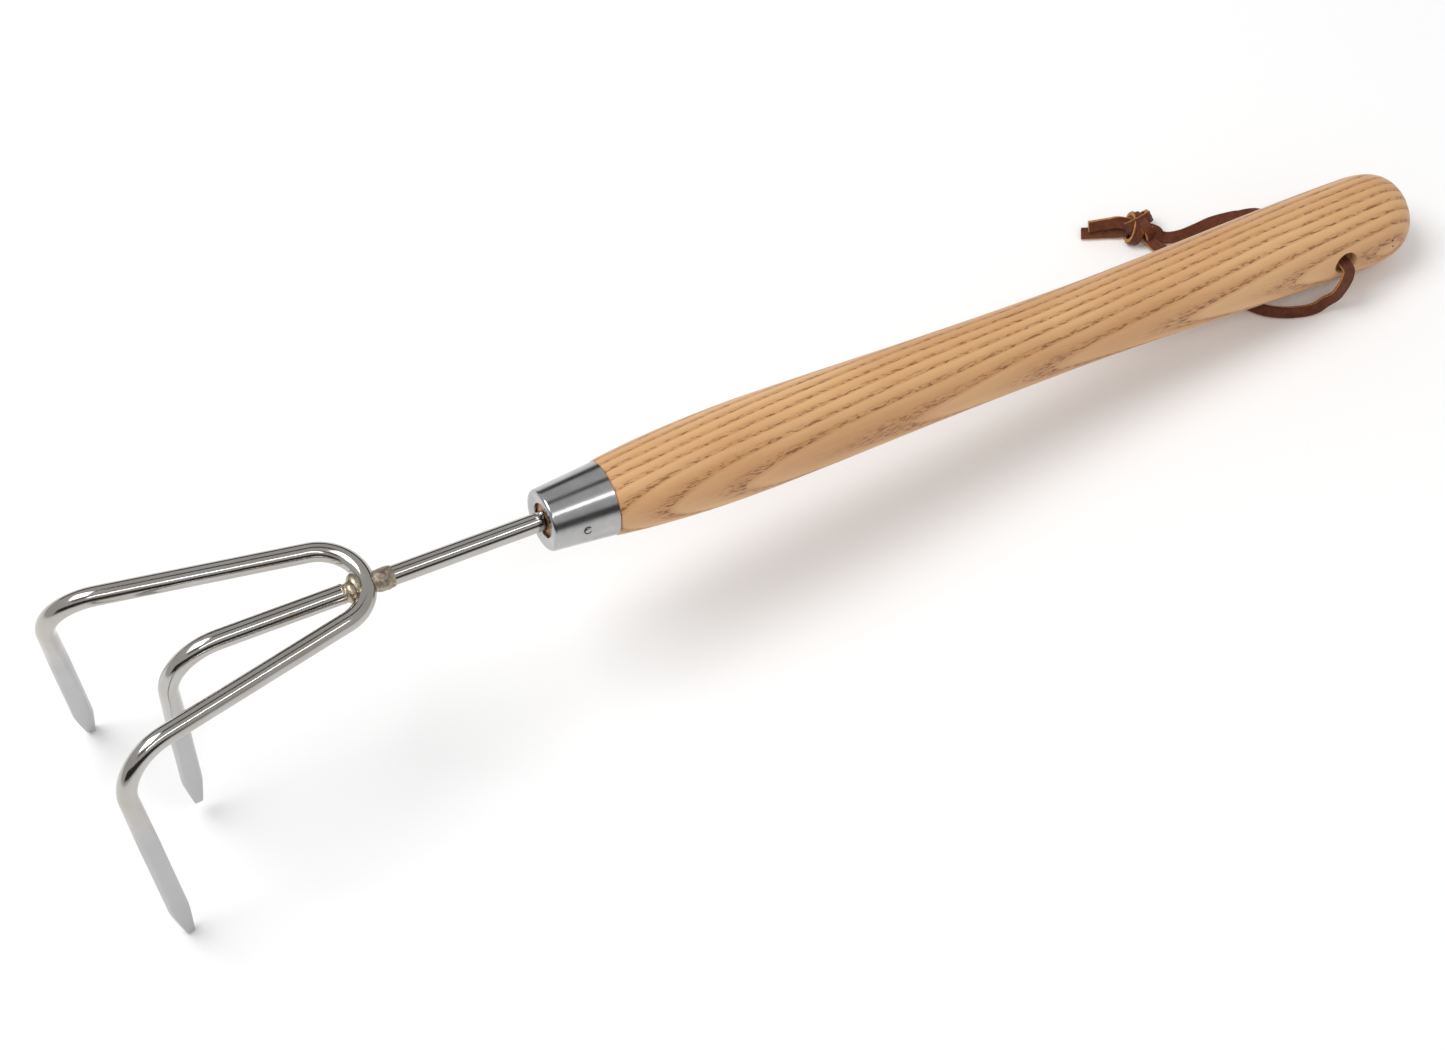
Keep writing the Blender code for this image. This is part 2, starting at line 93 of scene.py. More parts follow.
# Name, place, width, height and, for a lamp, power
SOFTBOXES = (
    ("key_softbox", (-0.55, 0.35, 1.5), 0.9, 0.9, 15),
    ("strip_softbox", (0.15, -0.9, 1.6), 1.6, 0.18, 5),
)
DARK_CARDS = (
    ("low_near_flag", (-0.9, -1.9, 0.75), 5.0, 1.1),
    ("high_near_flag", (-0.25, -0.85, 1.75), 2.6, 0.35),
    ("far_flag", (0.9, 2.2, 0.55), 5.0, 0.8),
    ("top_flag", (-0.1, 0.55, 2.2), 3.0, 0.5),
)
AIR_STRENGTH = 0.56
CAMERA_LENS = 77.094
CAMERA_PLACE = (-0.24222, -0.48863, 0.86205)
CAMERA_RIGHT = Vector((0.878467, -0.475385, -0.048096))
CAMERA_DOWN = Vector((-0.425764, -0.733118, -0.530336))
CAMERA_FORWARD = Vector((0.216849, 0.486363, -0.846422))
HOLE_SIZE = (0.0004, 0.0003, 0.00035)
KNOT_SIZE = (0.0044, 0.0044, 0.0036)
WOOD_HOLES = ((0.31292, -0.01470, 0.00448), (0.31358, -0.01517, 0.00195))

# The lace's own routes, from the middle of the hanging hole outwards
LACE_FLOOR = 0.0017
NEAR_ROUTE = (
    (0.2032, -0.0044, 0.0183), (0.2034, -0.0140, 0.0197), (0.2034, -0.0207, 0.0201),
    (0.2030, -0.0221, 0.0182), (0.2020, -0.0225, 0.0150), (0.2007, -0.0223, 0.0114),
    (0.1994, -0.0217, 0.0080), (0.1972, -0.0203, 0.0050), (0.1939, -0.0196, 0.0031),
    (0.1895, -0.0183, 0.0021), (0.1840, -0.0157, LACE_FLOOR), (0.1785, -0.0112, LACE_FLOOR),
    (0.1738, -0.0037, LACE_FLOOR), (0.1697, 0.0060, LACE_FLOOR), (0.1669, 0.0160, LACE_FLOOR),
    (0.1644, 0.0248, 0.0019), (0.1630, 0.0284, 0.0022), (0.1616, 0.0311, 0.0029),
)
FAR_ROUTE = (
    (0.2032, -0.0041, 0.0183), (0.2030, 0.0050, 0.0170), (0.2028, 0.0120, 0.0160),
    (0.2030, 0.0153, 0.0143), (0.2032, 0.0178, 0.0105), (0.2028, 0.0203, 0.0062),
    (0.2018, 0.0229, 0.0032), (0.1994, 0.0255, 0.0018), (0.1932, 0.0276, LACE_FLOOR),
    (0.1841, 0.0294, LACE_FLOOR), (0.1776, 0.0295, LACE_FLOOR), (0.1723, 0.0298, LACE_FLOOR),
    (0.1679, 0.0310, 0.0022), (0.1649, 0.0327, 0.0034), (0.1636, 0.0344, 0.0048),
)
KNOT_CENTRE = Vector((0.1597, 0.0391, 0.0048))
LONG_TAIL_ROUTE = (
    (0.1547, 0.0415, 0.0028), (0.1508, 0.0437, LACE_FLOOR), (0.1465, 0.0459, LACE_FLOOR),
    (0.1425, 0.0480, LACE_FLOOR),
)
SHORT_TAIL_ROUTE = (
    (0.1544, 0.0425, 0.0066), (0.1514, 0.0444, 0.0057), (0.1480, 0.0460, 0.0052),
    (0.1448, 0.0471, 0.0052),
)


Length = partial(FloatProperty, unit="LENGTH")
Angle = partial(FloatProperty, subtype="ANGLE")
Colour = partial(FloatVectorProperty, subtype="COLOR", size=3)


class CultivatorSteelSizes(bpy.types.PropertyGroup):
    """Sizes of the bent rods, in the tool's own space with the ferrule's face at zero."""

    rod_radius: Length(name="Rod radius", description="Radius of the steel rod", default=0.0031)
    bend_radius: Length(
        name="Bend radius", description="Radius where an arm turns down", default=0.016)
    bow_back: Length(
        name="Bow place", description="Where the bow crosses the shank's line", default=-0.0574)
    bow_radius: Length(
        name="Bow radius", description="Radius of the bow's round end", default=0.0142)
    bow_spread: Angle(
        name="Bow spread", description="Angle that each arm opens by", default=math.radians(11.6))
    bow_offset: Length(
        name="Bow offset", description="How far the bow sits to one side", default=0.0040)
    arm_length: Length(
        name="Arm length", description="Straight run from bow to bend", default=0.0814)
    arm_drop: Length(
        name="Arm drop", description="How far an arm falls over its length", default=0.0031)
    tine_drop: Length(name="Tine drop", description="Height of an outer tine", default=0.0900)
    tine_return: Length(name="Tine return", description="How far a tip leans back", default=0.0158)
    tine_splay: Length(
        name="Tine splay", description="How far a tip leans outwards", default=0.0101)
    centre_reach: Length(
        name="Centre reach", description="Bend of the centre tine", default=0.1231)
    centre_drop: Length(
        name="Centre drop", description="Height of the centre tine", default=0.0832)
    centre_return: Length(
        name="Centre return", description="How far its tip leans back", default=0.0086)
    taper_length: Length(
        name="Taper length", description="Length of a tine's point", default=0.014)
    tip_share: FloatProperty(
        name="Tip width", description="Tip width as a share of the rod",
        default=0.42, subtype="FACTOR")
    tip_thickness: Length(
        name="Tip thickness", description="Thickness at a tine's tip", default=0.0026)
    shank_weld_length: Length(
        name="Shank weld length", description="Width of the weld band", default=0.0048)
    tine_weld_length: Length(
        name="Tine weld length", description="Reach of the inner weld", default=0.0050)
    rod_sides: IntProperty(name="Rod sides", description="Sides of a rod's section", default=40)


class CultivatorHandleSizes(bpy.types.PropertyGroup):
    """Sizes of the ferrule and the turned wood."""

    ferrule_length: Length(
        name="Ferrule length", description="Length of the ferrule", default=0.0216)
    ferrule_front: Length(name="Ferrule front", description="Radius at its face", default=0.0099)
    ferrule_back: Length(name="Ferrule back", description="Radius at the wood", default=0.0119)
    ferrule_wall: Length(name="Ferrule wall", description="Thickness of the steel", default=0.0010)
    ferrule_mouth: Length(
        name="Ferrule mouth", description="Radius of the front hole", default=0.0056)
    pin_radius: Length(name="Pin radius", description="Radius of the cross pin", default=0.00115)
    pin_place: Length(
        name="Pin place", description="Distance of the pin from the face", default=0.0107)
    pin_roll: Angle(
        name="Pin roll", description="Roll of the pin about the handle", default=math.radians(13))
    wood_length: Length(name="Wood length", description="Length of the bare wood", default=0.305)
    shoulder: Length(
        name="Shoulder", description="Radius where the wood meets the ferrule", default=0.0122)
    belly: Length(name="Belly", description="Widest radius near the ferrule", default=0.0152)
    waist: Length(name="Waist", description="Narrowest radius", default=0.0133)
    flare: Length(name="Flare", description="Radius near the butt", default=0.0157)
    hole_radius: Length(
        name="Hole radius", description="Radius of the hanging hole", default=0.0040)
    hole_from_end: Length(name="Hole place", description="Distance from the butt", default=0.0328)
    hole_roll: Angle(
        name="Hole roll", description="Roll of the hole about the handle", default=math.radians(8))


class CultivatorLaceSizes(bpy.types.PropertyGroup):
    """Sizes of the flat leather lace."""

    width: Length(name="Lace width", description="Width of the strip", default=0.0040)
    thickness: Length(name="Lace thickness", description="Thickness of the strip", default=0.0015)


class CultivatorColours(bpy.types.PropertyGroup):
    """Base colours of the finishes."""

    steel: Colour(name="Steel", description="Polished rod", default=(0.50, 0.49, 0.475))
    satin: Colour(name="Satin steel", description="Ferrule and pin", default=(0.475, 0.474, 0.472))
    wood_light: Colour(name="Light wood", description="Late wood", default=(0.66, 0.385, 0.175))
    wood_dark: Colour(
        name="Dark wood", description="Early wood lines", default=(0.44, 0.200, 0.068))
    leather: Colour(name="Leather", description="Grain face", default=(0.082, 0.021, 0.007))
    leather_edge: Colour(
        name="Leather edge", description="Raw cut edge", default=(0.60, 0.27, 0.075))


def tool_matrix():
    """Lays tool space down on the floor, as the frame does."""
    return Matrix.Translation(TOOL_PLACE) @ Matrix.Rotation(TOOL_PITCH, 4, "Y")


def check_box(piece, node):
    """Stops if a finished piece doesn't fill the same box as the frame's own piece."""
    low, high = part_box(node)
    corners = [piece.matrix_world @ v.co for v in piece.data.vertices]
    for axis in range(3):
        values = [c[axis] for c in corners]
        gap = max(abs(min(values) - low[axis]), abs(max(values) - high[axis]))
        if gap > BOX_TOLERANCE:
            raise ValueError(f"{piece.name} is {gap:.5f} m off the box of {node}, axis {axis}")


def linked(name, data):
    """A new object of the scene that holds this mesh, lamp or camera."""
    made = bpy.data.objects.new(name, data)
    bpy.context.scene.collection.objects.link(made)
    return made


def add_ball(shape, centre, size, fineness):
    """Adds a ball with a half-width for each axis to a mesh that is being made."""
    place = Matrix.Translation(centre) @ Matrix.Diagonal((*size, 1))
    bmesh.ops.create_icosphere(shape, subdivisions=fineness, radius=1, matrix=place)


def add_piece(mesh, finishes, place, node=None):
    """Puts a finished mesh on the tool's body, in the stead of the frame's own piece."""
    for finish in finishes:
        mesh.materials.append(finish)
    piece = linked(mesh.name, mesh)
    piece.matrix_world = place
    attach(piece, BODY)
    if node:
        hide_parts(node)
    return piece


def shade_round(mesh, angle=35):
    mesh.shade_smooth()
    mesh.set_sharp_from_angle(angle=math.radians(angle))


def mesh_from(name, shape):
    bmesh.ops.recalc_face_normals(shape, faces=shape.faces)
    mesh = bpy.data.meshes.new(name)
    shape.to_mesh(mesh)
    shape.free()
    return mesh


def filleted(corners, radius, steps):
    """The corners joined by straight runs, with an arc at each inner corner."""
    path = [corners[0]]
    for before, corner, after in zip(corners, corners[1:], corners[2:]):
        into = (before - corner).normalized()
        out = (after - corner).normalized()
        half = into.angle(out) / 2
        reach = radius / math.tan(half)
        centre = corner + (into + out).normalized() * (radius / math.sin(half))
        start = corner + into * reach - centre
        axis = start.cross(corner + out * reach - centre).normalized()
        turn = math.pi - 2 * half
        for i in range(steps + 1):
            path.append(centre + Matrix.Rotation(turn * i / steps, 3, axis) @ start)
    path.append(corners[-1])
    return path


def tangents(path):
    found = []
    for i in range(len(path)):
        before = path[max(i - 1, 0)]
        after = path[min(i + 1, len(path) - 1)]
        found.append((after - before).normalized())
    return found


def carried_frames(path):
    """At each place the tangent and one side axis, carried along the path without twist."""
    along = tangents(path)
    side = along[0].orthogonal().normalized()
    frames = [(along[0], side)]
    for before, now in zip(along, along[1:]):
        side = before.rotation_difference(now) @ side
        side = (side - now * side.dot(now)).normalized()
        frames.append((now, side))
    return frames


def join_rings(shape, rings, closed=False):
    pairs = list(zip(rings, rings[1:]))
    if closed:
        pairs.append((rings[-1], rings[0]))
    for ring, following in pairs:
        count = max(len(ring), len(following))
        for j in range(count):
            k = (j + 1) % count
            corners = [ring[j % len(ring)], ring[k % len(ring)]]
            corners += [following[k % len(following)], following[j % len(following)]]
            shape.faces.new(list(dict.fromkeys(corners)))


def swept(name, rings_of_points):
    """Closed mesh through rings of points, with a cap at each end."""
    shape = bmesh.new()
    rings = [[shape.verts.new(p) for p in ring] for ring in rings_of_points]
    join_rings(shape, rings)
    shape.faces.new(rings[0][::-1])
    shape.faces.new(rings[-1])
    return mesh_from(name, shape)


def turned(name, outline, closed, steps=128, lift=None):
    """Mesh turned about the tool's own axis from (place, radius) points."""
    shape = bmesh.new()
    rings = []
    for along, radius in outline:
        if radius < 1e-7:
            rings.append([shape.verts.new((along, 0, 0))])
            continue
        ring = []
        for i in range(steps):
            turn = 2 * math.pi * i / steps
            extra = lift(along, turn) if lift else 0.0
            out = radius + extra
            ring.append(shape.verts.new((along, out * math.cos(turn), out * math.sin(turn))))
        rings.append(ring)
    join_rings(shape, rings, closed)
    return mesh_from(name, shape)


def paint(mesh, name, values):
    """Stores one number per point, for a material to read."""
    attribute = mesh.attributes.new(name, "FLOAT", "POINT")
    attribute.data.foreach_set("value", values)


def smooth_route(route, spacing):
    """Points at even spacing along a smooth curve through the route's own points."""
    places = [Vector(p) for p in route]
    padded = [2 * places[0] - places[1], *places, 2 * places[-1] - places[-2]]
    dense = []
    for a, b, c, d in zip(padded, padded[1:], padded[2:], padded[3:]):
        for i in range(24):
            t = i / 24
            dense.append(
                b
                + (c - a) * t / 2
                + (2 * a - 5 * b + 4 * c - d) * t**2 / 2
                + (3 * b - a - 3 * c + d) * t**3 / 2
            )
    dense.append(places[-1])
    kept = [dense[0]]
    for point in dense[1:-1]:
        if (point - kept[-1]).length >= spacing:
            kept.append(point)
    if (dense[-1] - kept[-1]).length < spacing / 2:
        kept.pop()
    kept.append(dense[-1])
    return kept


def tinted(colour, *shares):
    """The colour with each channel scaled by its own share."""
    return (*(c * share for c, share in zip(colour, shares)), 1)


class Graph:
    """Short way to write a material's nodes."""

    def __init__(self, name):
        self.material = bpy.data.materials.new(name)
        self.material.use_nodes = True
        self.tree = self.material.node_tree
        self.shader = self.tree.nodes["Principled BSDF"]

    def node(self, kind, links=None, **values):
        made = self.tree.nodes.new(kind)
        for key, value in values.items():
            setattr(made, key, value)
        for socket, value in (links or {}).items():
            if isinstance(value, bpy.types.NodeSocket):
                self.tree.links.new(value, made.inputs[socket])
            else:
                made.inputs[socket].default_value = value
        return made

    def math(self, operation, *values):
        links = dict(enumerate(values))
        return self.node("ShaderNodeMath", links, operation=operation).outputs[0]

    def mix(self, factor, first, second):
        """A colour between two; the node's sockets 6 and 7 are its colour inputs."""
        links = {0: factor, 6: first, 7: second}
        return self.node("ShaderNodeMix", links, data_type="RGBA").outputs[2]

    def ramp(self, factor, stops):
        made = self.node("ShaderNodeValToRGB", {0: factor})
        ramp = made.color_ramp
        for place, value in stops[2:]:
            ramp.elements.new(place)
        for element, (place, value) in zip(ramp.elements, stops):
            element.position = place
            colour = value if hasattr(value, "__len__") else (value, value, value)
            element.color = (*colour[:3], 1)
        return made.outputs[0]

    def noise(self, vector, scale, detail=3.0, roughness=0.5, distortion=0.0):
        return self.node("ShaderNodeTexNoise", {
            "Vector": vector, "Scale": scale, "Detail": detail, "Roughness": roughness,
            "Distortion": distortion,
        }).outputs["Fac"]

    def place(self, stretch=(1, 1, 1)):
        """The piece's own coordinates in metres, stretched."""
        source = self.node("ShaderNodeTexCoord").outputs["Object"]
        return self.node("ShaderNodeMapping", {
            "Vector": source, "Scale": stretch,
        }).outputs[0]

    def attribute(self, name):
        return self.node("ShaderNodeAttribute", attribute_name=name).outputs["Fac"]

    def bump(self, height, strength, distance):
        bump = self.node("ShaderNodeBump", {
            "Height": height, "Strength": strength, "Distance": distance,
        })
        self.link(bump.outputs[0], "Normal")

    def link(self, socket, name):
        self.tree.links.new(socket, self.shader.inputs[name])

    def set(self, **values):
        for name, value in values.items():
            self.shader.inputs[name.replace("_", " ")].default_value = value


def polished_steel(colours):
    """Mirror-polished rod, satin where the tines are pressed flat, with fine drawn scratches."""
    g = Graph("polished_steel_finish")
    drawn = g.noise(g.place((60, 900, 900)), 1.0, 4, 0.6)
    smudge = g.noise(g.place(), 55, 4, 0.6)
    pressed = g.attribute("pressed")
    polish = g.math("MULTIPLY_ADD", smudge, 0.12, 0.07)
    satin = g.math("MULTIPLY_ADD", smudge, 0.20, 0.30)
    rough = g.node("ShaderNodeMix", {0: pressed, 2: polish, 3: satin}, data_type="FLOAT")
    g.link(rough.outputs[0], "Roughness")
    steel = (*colours.steel, 1)
    warm = tinted(colours.steel, 0.90, 0.84, 0.78)
    tone = g.mix(g.ramp(smudge, [(0.35, 0.0), (0.7, 1.0)]), steel, warm)
    g.link(g.mix(pressed, tone, PRESSED_STEEL), "Base Color")
    g.set(Metallic=1.0)
    g.bump(g.math("ADD", drawn, g.math("MULTIPLY", smudge, 0.6)), 0.10, 0.00012)
    return g.material


def satin_steel(colours):
    """Ferrule steel: turned lines round the axis, smudges and small dents."""
    g = Graph("ferrule_steel_finish")
    lines = g.noise(g.place((2600, 40, 40)), 1.0, 3, 0.6)
    smudge = g.noise(g.place(), 120, 4, 0.6)
    g.link(g.math("MULTIPLY_ADD", smudge, 0.16, 0.13), "Roughness")
    base = (*colours.satin, 1)
    dull = tinted(colours.satin, 0.80, 0.80, 0.80)
    g.link(g.mix(g.ramp(smudge, [(0.38, 0.0), (0.72, 1.0)]), base, dull), "Base Color")
    g.set(Metallic=1.0)
    dents = g.node("ShaderNodeTexVoronoi", {"Vector": g.place(), "Scale": 260.0})
    pit = g.ramp(dents.outputs["Distance"], [(0.0, 0.0), (0.16, 1.0)])
    few = g.ramp(g.noise(g.place(), 90, 1), [(0.60, 1.0), (0.66, 0.0)])
    height = g.math("MAXIMUM", pit, few)
    g.bump(g.math("MULTIPLY_ADD", lines, 0.25, height), 0.22, 0.00012)
    return g.material


def weld_metal(name, light, dark, scale, rough):
    """Weld bead with heat tint: straw, brown and a trace of blue."""
    g = Graph(name)
    patch = g.noise(g.place(), scale, 5, 0.65, 0.6)
    tint = g.ramp(patch, [(0.30, dark), (0.46, light), (0.60, (0.50, 0.41, 0.28)),
                          (0.72, (0.34, 0.36, 0.42))])
    g.link(tint, "Base Color")
    g.set(Metallic=1.0)
    g.link(g.math("MULTIPLY_ADD", patch, 0.35, rough), "Roughness")
    g.bump(g.noise(g.place(), scale * 6, 4, 0.6), 0.5, 0.0003)
    return g.material


def ash_wood(colours):
    """Flat-sawn ash: rings about a pith outside the handle, dotted pores and fine fibre."""
    g = Graph("ash_wood_finish")
    sway = g.noise(g.place((5, 26, 26)), 1.0, 2, 0.45)
    ripple = g.noise(g.place((34, 110, 110)), 1.0, 2, 0.5)
    along, across, height = g.node("ShaderNodeSeparateXYZ", {0: g.place()}).outputs
    y = g.math("ADD", g.math("MULTIPLY_ADD", along, -0.066, across), 0.0660)
    y = g.math("MULTIPLY_ADD", sway, 0.0085, y)
    z = g.math("ADD", g.math("MULTIPLY_ADD", along, 0.010, height), -0.0120)
    z = g.math("MULTIPLY_ADD", ripple, 0.0016, z)
    radius = g.math("SQRT", g.math("ADD", g.math("POWER", y, 2.0), g.math("POWER", z, 2.0)))
    ring = g.math("FRACT", g.math("DIVIDE", radius, RING_SPACING))
    early = g.ramp(ring, [(0.0, 0.90), (0.06, 1.0), (0.28, 0.68), (0.56, 0.24), (0.86, 0.0),
                          (1.0, 0.66)])
    ragged = g.noise(g.place((130, 900, 900)), 1.0, 3, 0.65)
    broken = g.math("MULTIPLY", early, g.ramp(ragged, [(0.32, 0.50), (0.60, 1.0)]))
    fibre = g.noise(g.place((90, 2200, 2200)), 1.0, 4, 0.7)
    pores = g.noise(g.place((380, 1900, 1900)), 1.0, 2, 0.5)
    pore = g.math("MULTIPLY", g.ramp(pores, [(0.50, 0.0), (0.60, 1.0)]),
                  g.ramp(early, [(0.55, 0.0), (0.9, 1.0)]))
    patch = g.noise(g.place((14, 60, 60)), 1.0, 3, 0.5)
    light = (*colours.wood_light, 1)
    pink = tinted(colours.wood_light, 0.90, 0.83, 0.84)
    pale = tinted(colours.wood_light, 1.10, 1.17, 1.28)
    ground = g.mix(g.ramp(patch, [(0.35, 0.0), (0.65, 1.0)]), pale, pink)
    ground = g.mix(g.ramp(fibre, [(0.3, 0.0), (0.75, 0.65)]), ground, light)
    grained = g.mix(g.math("MULTIPLY", broken, 0.80), ground, (*colours.wood_dark, 1))
    dark = tinted(colours.wood_dark, 0.46, 0.42, 0.42)
    g.link(g.mix(g.math("MULTIPLY", pore, 0.85), grained, dark), "Base Color")
    g.link(g.math("MULTIPLY_ADD", fibre, 0.16, 0.36), "Roughness")
    g.set(Specular_IOR_Level=0.42)
    relief = g.math("MULTIPLY_ADD", fibre, 0.25, g.math("MULTIPLY", pore, -1.0))
    g.bump(g.math("MULTIPLY_ADD", broken, -0.35, relief), 0.30, 0.00018)
    return g.material


def leather_face(colours):
    """Grain side of the lace: dark red-brown, slightly glossy, creased."""
    g = Graph("lace_leather_finish")
    mottle = g.noise(g.place(), 420, 5, 0.6)
    light = tinted(colours.leather, 1.9, 1.9, 1.9)
    g.link(g.mix(g.ramp(mottle, [(0.35, 0.0), (0.75, 1.0)]), (*colours.leather, 1), light),
           "Base Color")
    g.link(g.math("MULTIPLY_ADD", mottle, 0.25, 0.46), "Roughness")
    g.set(Specular_IOR_Level=0.28)
    pebble = g.node("ShaderNodeTexVoronoi", {"Vector": g.place(), "Scale": 1900.0})
    g.bump(g.math("MULTIPLY_ADD", mottle, 0.8, pebble.outputs["Distance"]), 0.35, 0.00025)
    return g.material


def leather_edge(colours):
    """Raw cut edge of the lace: orange-tan and fibrous."""
    g = Graph("lace_edge_finish")
    fibres = g.noise(g.place(), 1500, 5, 0.7)
    dark = tinted(colours.leather_edge, 0.45, 0.45, 0.45)
    g.link(g.mix(g.ramp(fibres, [(0.35, 1.0), (0.65, 0.0)]), (*colours.leather_edge, 1), dark),
           "Base Color")
    g.set(Roughness=0.85)
    g.bump(fibres, 0.5, 0.0003)
    return g.material


def floor_finish():
    g = Graph("pale_floor_finish")
    g.set(Base_Color=(0.93, 0.93, 0.93, 1), Roughness=0.8)
    return g.material


def outer_tine_corners(s, side):
    centre_x = s.bow_back - s.bow_radius
    start = Vector((
        centre_x + s.bow_radius * math.sin(s.bow_spread),
        s.bow_offset + side * s.bow_radius * math.cos(s.bow_spread),
        0,
    ))
    run = Vector((-math.cos(s.bow_spread), side * math.sin(s.bow_spread), 0)) * s.arm_length
    bend = start + run - Vector((0, 0, s.arm_drop))
    return start, bend, bend + Vector((s.tine_return, side * s.tine_splay, -s.tine_drop))


def centre_tine_corners(s):
    start = Vector((s.bow_back - s.rod_radius - s.tine_weld_length, 0, 0))
    bend = Vector((-s.centre_reach, 0, 0))
    return start, bend, bend + Vector((s.centre_return, 0, -s.centre_drop))


def bow_face_x(s, side):
    radius = s.bow_radius + side * s.rod_radius
    return s.bow_back - s.bow_radius + math.sqrt(radius**2 - s.bow_offset**2)


def arm_stations(s, corners):
    """(place, how far down the blade, how far into its point) along one arm and its tine."""
    before, bend, tip = corners
    path = filleted(corners, s.bend_radius, 24)
    elbow = path[-2]
    length = (tip - elbow).length
    flat_from = bend + (tip - bend).normalized() * s.bend_radius
    flat_length = (tip - flat_from).length
    stations = [(path[0], 0.0, 0.0)]
    arm = path[1] - path[0]
    stations += [(path[0] + arm * i / 8, 0.0, 0.0) for i in range(1, 8)]
    stations += [(place, 0.0, 0.0) for place in path[1:-1]]
    shares = [i / 40 for i in range(1, 36)]
    shares += [0.875 + 0.125 * math.sin(math.pi / 2 * i / 16) for i in range(1, 17)]
    for share in shares:
        left = length * (1 - share)
        blade = max(0.0, 1 - left / flat_length)
        stations.append((elbow.lerp(tip, share), blade, max(0.0, 1 - left / s.taper_length)))
    return stations


def blade_ring(s, place, along, side, thin_axis, wide_axis, blade, point):
    """Ring of a rod that is pressed between two flats and, near its tip, drawn to a point."""
    ring = []
    round_tip = math.sqrt(max(0.0, 1 - max(0.0, (point - 0.9) / 0.1) ** 2))
    width = 1 - (1 - s.tip_share) * point**1.2
    width *= 0.25 + 0.75 * round_tip
    shift = s.rod_radius * (1 - width) * 0.12
    limit = s.rod_radius + (s.tip_thickness / 2 - s.rod_radius) * min(1.0, blade)
    limit *= 0.35 + 0.65 * round_tip
    other = along.cross(side)
    for k in range(s.rod_sides):
        turn = 2 * math.pi * k / s.rod_sides
        out = (side * math.cos(turn) + other * math.sin(turn)) * s.rod_radius
        if thin_axis is None:
            ring.append(place + out)
            continue
        thin = max(-limit, min(limit, out.dot(thin_axis)))
        spread = 1 + 0.07 * min(1.0, blade * 3) * (1 - point)
        across = out.dot(wide_axis) * width * spread + shift
        ring.append(place + wide_axis * across + thin_axis * thin)
    return ring


def bent_rod(name, s, stations, axes):
    """Mesh of a bent rod; axes(i) gives a blade's own plane normal, or None off the blades."""
    frames = carried_frames([station[0] for station in stations])
    rings = []
    pressed = []
    for i, (place, blade, point) in enumerate(stations):
        along, side = frames[i]
        plane = axes(i)
        wide = None
        if blade > 0:
            thin = (plane[0] - along * plane[0].dot(along)).normalized()
            wide = thin.cross(along).normalized()
            if wide.dot(plane[1]) < 0:
                wide = -wide
        else:
            thin = None
        rings.append(blade_ring(s, place, along, side, thin, wide, blade, point))
        value = min(1.0, max(0.0, blade * 4 - 0.1)) ** 1.5
        pressed += [value] * s.rod_sides
    mesh = swept(name, rings)
    shade_round(mesh, 26)
    paint(mesh, "pressed", pressed)
    return mesh


def plane_of(corners):
    """The normal of the plane a tine bends in, and the way back towards the shank."""
    before, bend, tip = corners
    down = (tip - bend).normalized()
    back = (before - bend).normalized()
    return back.cross(down).normalized(), back


class CULTIVATOR_OT_tines(bpy.types.Operator):
    """Builds the bow with its two outer tines, the centre tine and the shank"""

    bl_idname = "cultivator.tines"
    bl_label = "Build tines and shank"

    def execute(self, context):
        s = context.scene.cultivator_steel
        finish = polished_steel(context.scene.cultivator_colours)
        far = outer_tine_corners(s, 1)
        near = outer_tine_corners(s, -1)
        centre = Vector((s.bow_back - s.bow_radius, s.bow_offset, 0))
        quarter = math.pi / 2 - s.bow_spread
        turns = [quarter - 2 * quarter * i / 48 for i in range(1, 48)]
        bow = [(centre + s.bow_radius * Vector((math.cos(a), math.sin(a), 0)), 0.0, 0.0)
               for a in turns]
        far_run = arm_stations(s, far)[::-1]
        near_run = arm_stations(s, near)
        stations = far_run + bow + near_run
        middle = len(far_run) + len(bow) // 2
        planes = (plane_of(far), plane_of(near))
        mesh = bent_rod("bent_outer_tines", s, stations, lambda i: planes[i > middle])
        self.add(mesh, finish, "outer_tines")
        corners = centre_tine_corners(s)
        mesh = bent_rod("bent_centre_tine", s, arm_stations(s, corners),
                        lambda i: plane_of(corners))
        self.add(mesh, finish, "centre_tine")
        self.add(self.shank_mesh(s), finish, "shank")
        return {"FINISHED"}

    def add(self, mesh, finish, node):
        check_box(add_piece(mesh, (finish,), tool_matrix(), node), node)

    def shank_mesh(self, s):
        """Round shank and tang, with two pinched lugs where it enters the ferrule."""
        low = bow_face_x(s, 1) + s.shank_weld_length
        places = [low + (LUG_FROM - low) * i / 14 for i in range(14)]
        places += [LUG_FROM + (LUG_TO - LUG_FROM) * i / 10 for i in range(11)]
        places += [0.01, 0.03, 0.05, TANG_END]
        rings = []
        for x in places:
            share = (x - LUG_FROM) / (LUG_TO - LUG_FROM)
            pinch = math.sin(math.pi * share) ** 0.35 if 0 < share < 1 else 0.0
            ring = []
            for k in range(s.rod_sides * 2):
                turn = 2 * math.pi * k / (s.rod_sides * 2)
                grow = pinch * (LUG_REACH - s.rod_radius) * abs(math.sin(turn)) ** 18
                out = s.rod_radius + grow
                ring.append(Vector((x, out * math.cos(turn), out * math.sin(turn))))
            rings.append(ring)
        mesh = swept("polished_shank", rings)
        shade_round(mesh, 32)
        paint(mesh, "pressed", [0.0] * len(mesh.vertices))
        return mesh


def lumpy(place, turn, size, scale):
    """Uneven height of a weld's surface."""
    spot = Vector((place * scale, math.cos(turn) * 2, math.sin(turn) * 2))
    return size * noise.fractal(spot, 0.8, 2.2, 4)


